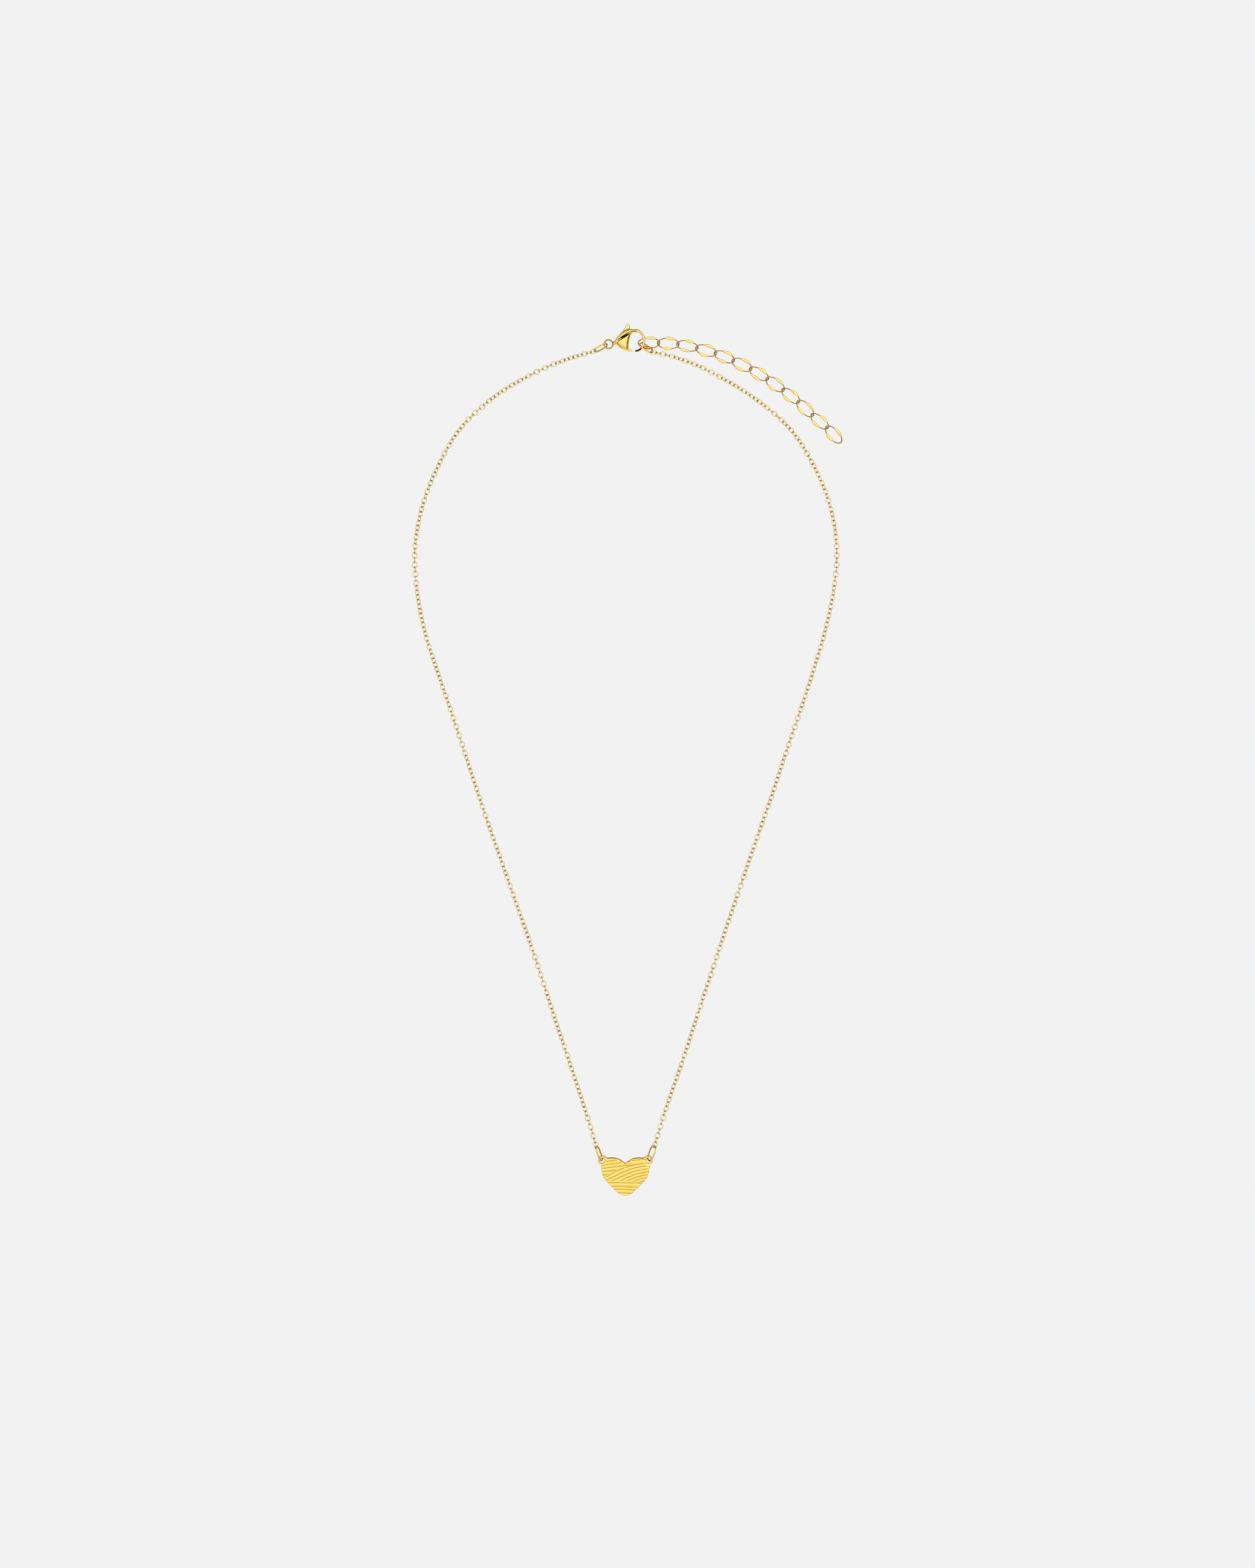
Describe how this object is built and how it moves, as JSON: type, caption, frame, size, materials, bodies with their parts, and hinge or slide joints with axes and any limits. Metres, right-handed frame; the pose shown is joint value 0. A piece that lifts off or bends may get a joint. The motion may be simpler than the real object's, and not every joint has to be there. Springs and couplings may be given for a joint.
{
  "type": "pendant necklace",
  "caption": "Fine cable-chain necklace with a ridged heart pendant on two oval rings, a lobster clasp and an open-link extender, fastened and laid flat.",
  "frame": {"origin": "centre of the heart's flat back, on the surface that the necklace lies on", "axes": "+X to the viewer's right, +Y from the heart towards the clasp, +Z out of the heart's front face"},
  "size_m": [0.0869, 0.176, 0.0024],
  "materials": {
    "polished_gold": "polished",
    "pale_gold": "polished",
    "spring_steel": "satin"
  },
  "bodies": {
    "chain_front": {"left_chain_1": "pale_gold", "right_chain_1": "pale_gold"},
    "heart_rings": {"left_heart_ring": "pale_gold", "right_heart_ring": "pale_gold"},
    "heart": {"heart_pendant": "polished_gold"},
    "chain_band_2": {"left_chain_2": "pale_gold", "right_chain_2": "pale_gold"},
    "chain_band_3": {"left_chain_3": "pale_gold", "right_chain_3": "pale_gold"},
    "chain_band_4": {"left_chain_4": "pale_gold", "right_chain_4": "pale_gold"},
    "chain_band_5": {"left_chain_5": "pale_gold", "right_chain_5": "pale_gold"},
    "fastener_rings": {"connector_link": "pale_gold", "end_ring": "pale_gold"},
    "clasp": {"clasp_body": "polished_gold", "clasp_rivet": "spring_steel", "clasp_spring": "spring_steel"},
    "clasp_lever": {"clasp_lever": "polished_gold"},
    "extender_01": {"extender_link_01": "pale_gold"},
    "extender_02": {"extender_link_02": "pale_gold"},
    "extender_03": {"extender_link_03": "pale_gold"},
    "extender_04": {"extender_link_04": "pale_gold"},
    "extender_05": {"extender_link_05": "pale_gold"},
    "extender_06": {"extender_link_06": "pale_gold"},
    "extender_07": {"extender_link_07": "pale_gold"},
    "extender_08": {"extender_link_08": "pale_gold"},
    "extender_09": {"extender_link_09": "pale_gold"},
    "extender_10": {"extender_link_10": "pale_gold"},
    "extender_11": {"extender_link_11": "pale_gold"},
    "extender_12": {"extender_link_12": "pale_gold"}
  },
  "joints": [
    {"name": "ring_swing", "type": "hinge", "parent": "chain_front", "child": "heart_rings", "pos_m": [-0.00002, 0.00585, 0.00108], "axis": [1, 0.0086, 0], "range_deg": [-15, 15]},
    {"name": "heart_swing", "type": "hinge", "parent": "heart_rings", "child": "heart", "pos_m": [0, 0.0032, 0.00108], "axis": [1, 0, 0], "range_deg": [-15, 15]},
    {"name": "drape_1", "type": "hinge", "parent": "chain_front", "child": "chain_band_2", "pos_m": [0.0001, 0.042, 0.0006], "axis": [1, 0, 0], "range_deg": [-20, 20]},
    {"name": "drape_2", "type": "hinge", "parent": "chain_band_2", "child": "chain_band_3", "pos_m": [0, 0.076, 0.0006], "axis": [1, 0, 0], "range_deg": [-20, 20]},
    {"name": "drape_3", "type": "hinge", "parent": "chain_band_3", "child": "chain_band_4", "pos_m": [-0.0001, 0.11, 0.0006], "axis": [1, 0, 0], "range_deg": [-20, 20]},
    {"name": "drape_4", "type": "hinge", "parent": "chain_band_4", "child": "chain_band_5", "pos_m": [0.00015, 0.143, 0.0006], "axis": [1, 0, 0], "range_deg": [-20, 20]},
    {"name": "fastener_swing", "type": "hinge", "parent": "chain_band_5", "child": "fastener_rings", "pos_m": [-0.00038, 0.16653, 0.00103], "axis": [0.9998, -0.0128, -0.0119], "range_deg": [-15, 15]},
    {"name": "clasp_roll", "type": "hinge", "parent": "fastener_rings", "child": "clasp", "pos_m": [-0.00372, 0.16795, 0.00129], "axis": [0.998, -0.0631, 0], "range_deg": [0, 16]},
    {"name": "lever_press", "type": "hinge", "parent": "clasp", "child": "clasp_lever", "pos_m": [-0.00035, 0.1689, 0.00129], "axis": [0, 0, 1], "range_deg": [0, 20], "stiffness_Nm_per_rad": 0.002, "deforming": ["clasp_spring"]},
    {"name": "extender_swing", "type": "hinge", "parent": "fastener_rings", "child": "extender_01", "pos_m": [0.00305, 0.1681, 0.0005], "axis": [0, 0, 1], "range_deg": [0, 25]},
    {"name": "extender_bend_02", "type": "hinge", "parent": "extender_01", "child": "extender_02", "pos_m": [0.00693, 0.1683, 0.00062], "axis": [0.006, 0.9361, -0.3518], "range_deg": [-15, 15]},
    {"name": "extender_bend_03", "type": "hinge", "parent": "extender_02", "child": "extender_03", "pos_m": [0.01082, 0.16806, 0.00062], "axis": [0.0526, 0.912, 0.4067], "range_deg": [-15, 15]},
    {"name": "extender_bend_04", "type": "hinge", "parent": "extender_03", "child": "extender_04", "pos_m": [0.01464, 0.16726, 0.00062], "axis": [0.1821, 0.8952, -0.4067], "range_deg": [-15, 15]},
    {"name": "extender_bend_05", "type": "hinge", "parent": "extender_04", "child": "extender_05", "pos_m": [0.01838, 0.16616, 0.00062], "axis": [0.2533, 0.8777, 0.4067], "range_deg": [-15, 15]},
    {"name": "extender_bend_06", "type": "hinge", "parent": "extender_05", "child": "extender_06", "pos_m": [0.02199, 0.16467, 0.00062], "axis": [0.3437, 0.8464, -0.4067], "range_deg": [-15, 15]},
    {"name": "extender_bend_07", "type": "hinge", "parent": "extender_06", "child": "extender_07", "pos_m": [0.02549, 0.16295, 0.00062], "axis": [0.4005, 0.8211, 0.4067], "range_deg": [-15, 15]},
    {"name": "extender_bend_08", "type": "hinge", "parent": "extender_07", "child": "extender_08", "pos_m": [0.02883, 0.16094, 0.00062], "axis": [0.4664, 0.7855, -0.4067], "range_deg": [-15, 15]},
    {"name": "extender_bend_09", "type": "hinge", "parent": "extender_08", "child": "extender_09", "pos_m": [0.03201, 0.15868, 0.00062], "axis": [0.5266, 0.7465, 0.4067], "range_deg": [-15, 15]},
    {"name": "extender_bend_10", "type": "hinge", "parent": "extender_09", "child": "extender_10", "pos_m": [0.03508, 0.15628, 0.00062], "axis": [0.5612, 0.7209, -0.4067], "range_deg": [-15, 15]},
    {"name": "extender_bend_11", "type": "hinge", "parent": "extender_10", "child": "extender_11", "pos_m": [0.03789, 0.15357, 0.00062], "axis": [0.6312, 0.6605, 0.4067], "range_deg": [-15, 15]},
    {"name": "extender_bend_12", "type": "hinge", "parent": "extender_11", "child": "extender_12", "pos_m": [0.04089, 0.15107, 0.00062], "axis": [0.586, 0.7008, -0.4067], "range_deg": [-15, 15]}
  ]
}
